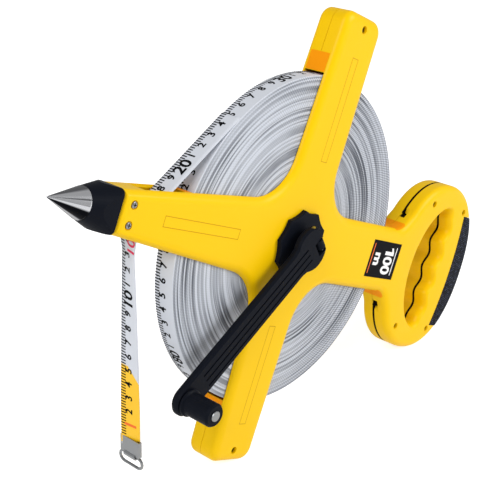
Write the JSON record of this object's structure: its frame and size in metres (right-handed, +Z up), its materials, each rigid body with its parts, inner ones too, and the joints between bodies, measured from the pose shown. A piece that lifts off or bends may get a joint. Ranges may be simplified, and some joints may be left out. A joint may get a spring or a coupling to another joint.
{
  "type": "surveyor tape reel",
  "caption": "Open-reel long measuring tape: cross-shaped frame with hand grip, ground spike, guide roller, free tape end and folding crank.",
  "frame": {"origin": "centre of the footprint on the floor, under the middle of the overall box", "axes": "+X towards the hand grip, -Y the crank side along the reel axis, +Z up; the reel stands on its lower arm and the lower end of the grip"},
  "size_m": [0.4495, 0.0678, 0.3092],
  "materials": {
    "yellow_plastic": "satin moulded",
    "black_plastic": "satin moulded",
    "black_rubber": "matte",
    "plated_steel": "zinc plated",
    "chrome": "polished",
    "tape_white": "printed",
    "grey_plastic": "moulded",
    "label_black": "printed"
  },
  "bodies": {
    "frame": {"front_frame_shell": "yellow_plastic", "rear_frame_shell": "yellow_plastic", "grip_gasket": "black_plastic", "grip_pad": "black_rubber", "grip_screw_upper_inner": "plated_steel", "grip_screw_lower_inner": "plated_steel", "grip_screw_upper_outer": "plated_steel", "grip_screw_lower_outer": "plated_steel", "upper_arm_screw": "plated_steel", "lower_arm_screw": "plated_steel", "label_plate": "label_black", "spike_collar": "black_plastic", "ground_spike": "chrome", "spike_screw_upper": "plated_steel", "spike_screw_lower": "plated_steel", "guide_pin": "plated_steel", "front_bush": "grey_plastic", "rear_bush": "grey_plastic", "tape_free_run": "tape_white", "tape_end_clamp": "plated_steel", "tape_end_ring": "plated_steel"},
    "reel": {"spool_drum": "grey_plastic", "tape_roll": "tape_white", "hub_knob": "black_plastic", "rear_cap": "black_plastic", "hub_bolt": "plated_steel", "knob_screw_1": "plated_steel", "knob_screw_2": "plated_steel", "knob_screw_3": "plated_steel"},
    "crank": {"crank_arm": "black_plastic", "crank_hinge_pin": "plated_steel", "handle_rivet": "plated_steel", "handle_washer": "plated_steel"},
    "handle": {"crank_handle": "black_plastic"},
    "roller": {"guide_roller": "grey_plastic"}
  },
  "joints": [
    {"name": "reel_spin", "type": "hinge", "parent": "frame", "child": "reel", "pos_m": [-0.02173, 0.0169, 0.15458], "axis": [0, 1, 0], "continuous": true},
    {"name": "crank_fold", "type": "hinge", "parent": "reel", "child": "crank", "pos_m": [-0.01331, -0.0067, 0.15899], "axis": [-0.4648, 0, 0.8854], "range_deg": [0, 170]},
    {"name": "handle_spin", "type": "hinge", "parent": "crank", "child": "handle", "pos_m": [-0.14479, -0.0211, 0.08997], "axis": [0, 1, 0], "continuous": true},
    {"name": "roller_spin", "type": "hinge", "parent": "frame", "child": "roller", "pos_m": [-0.16175, 0.0169, 0.20806], "axis": [0, 1, 0], "continuous": true}
  ]
}
